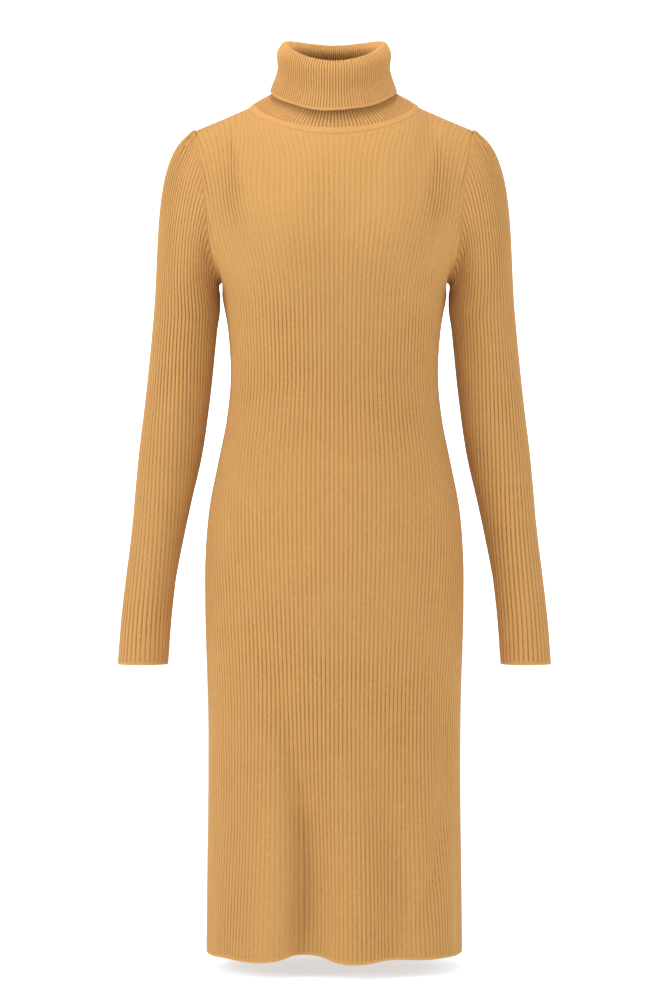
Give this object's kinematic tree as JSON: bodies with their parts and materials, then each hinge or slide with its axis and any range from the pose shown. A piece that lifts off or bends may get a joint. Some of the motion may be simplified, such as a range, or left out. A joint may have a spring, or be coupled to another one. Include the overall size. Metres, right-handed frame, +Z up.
{
  "type": "sweater dress",
  "caption": "Midi sweater dress in vertical rib knit with a folded turtleneck collar and long set-in sleeves, filled out as it is worn with nobody in it",
  "frame": {"origin": "middle of the neck base, midway between the two points where the neck seam meets the shoulder seams", "axes": "+Z up, the front of the dress faces -Y, +X is the viewer's right as the viewer faces the front (the wearer's left)"},
  "size_m": [0.5378, 0.2489, 1.1425],
  "materials": {
    "body_knit": "matt camel rib knit",
    "sleeve_knit": "matt camel rib knit",
    "collar_knit": "matt camel rib knit, fine gauge"
  },
  "bodies": {
    "root": {"front": "body_knit", "back": "body_knit", "sleeve_left": "sleeve_knit", "sleeve_right": "sleeve_knit", "collar": "collar_knit"}
  },
  "joints": []
}
